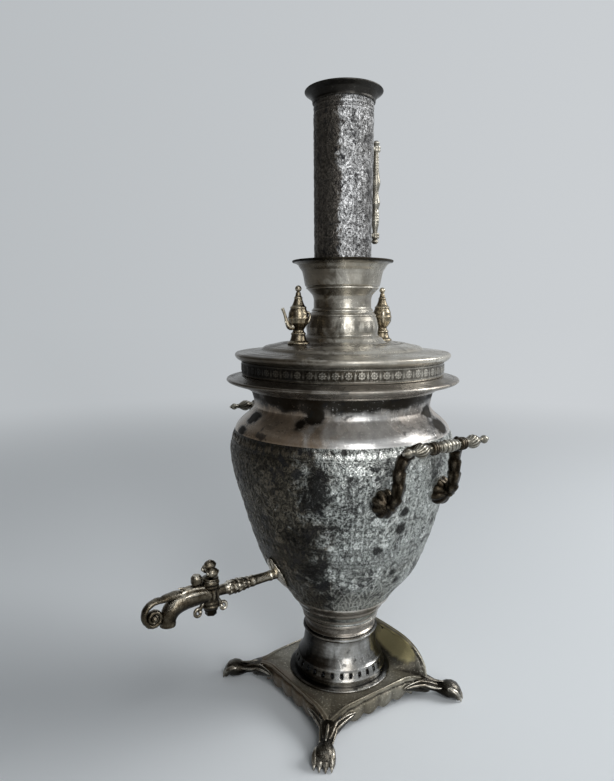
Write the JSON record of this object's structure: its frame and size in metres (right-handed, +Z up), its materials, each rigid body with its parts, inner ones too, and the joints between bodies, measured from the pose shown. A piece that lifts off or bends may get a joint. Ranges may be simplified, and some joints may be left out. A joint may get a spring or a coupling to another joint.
{
  "type": "samovar",
  "caption": "Charcoal samovar in engraved silver plate, on a square base with lion paw feet, with a plug tap, scroll handles, a lift-off lid, a crown and a chimney pipe.",
  "frame": {"origin": "on the table, under the axis of the vessel", "axes": "+Z up along the vessel's axis, -Y the way the tap points, +X the handle on the right seen from the tap"},
  "size_m": [0.3118, 0.3495, 0.6421],
  "materials": {
    "silver": "engraved and tarnished silver plate",
    "dark_silver": "dark, heavily tarnished silver plate",
    "nickel": "cast and turned nickel silver, worn",
    "brass": "dull brass",
    "iron": "sooty iron",
    "leather": "leather packing"
  },
  "bodies": {
    "stand": {"base_plate": "silver", "paw_front_right": "nickel", "paw_rear_right": "nickel", "paw_rear_left": "nickel", "paw_front_left": "nickel", "pedestal": "dark_silver", "stem_collar": "silver", "vessel": "silver", "vessel_floor": "silver", "rim_ring": "silver", "fire_tube": "iron", "grate": "iron", "right_front_arm": "nickel", "right_rear_arm": "nickel", "right_grip": "nickel", "left_front_arm": "nickel", "left_rear_arm": "nickel", "left_grip": "nickel", "tap_leaf": "nickel", "tap_gasket": "leather", "tap_back_nut": "brass", "tap_body": "nickel", "tap_scroll": "nickel"},
    "key": {"tap_key": "nickel", "key_washer": "brass", "key_nut": "brass"},
    "lid": {"lid": "nickel", "front_knob": "nickel", "rear_knob": "nickel", "front_knob_nut": "brass", "rear_knob_nut": "brass"},
    "crown": {"crown": "nickel"},
    "chimney": {"chimney_pipe": "silver", "chimney_lip": "dark_silver", "chimney_handle": "nickel", "lower_bracket": "nickel", "upper_bracket": "nickel"}
  },
  "joints": [
    {"name": "key_turn", "type": "hinge", "parent": "stand", "child": "key", "pos_m": [0, -0.1591, 0.156], "axis": [0, 0, 1], "range_deg": [0, 90]},
    {"name": "lid_lift", "type": "slide", "parent": "stand", "child": "lid", "axis": [0, 0, 1], "range_m": [0, 0.1]},
    {"name": "crown_lift", "type": "slide", "parent": "lid", "child": "crown", "axis": [0, 0, 1], "range_m": [0, 0.08]},
    {"name": "chimney_lift", "type": "slide", "parent": "crown", "child": "chimney", "axis": [0, 0, 1], "range_m": [0, 0.1]}
  ]
}
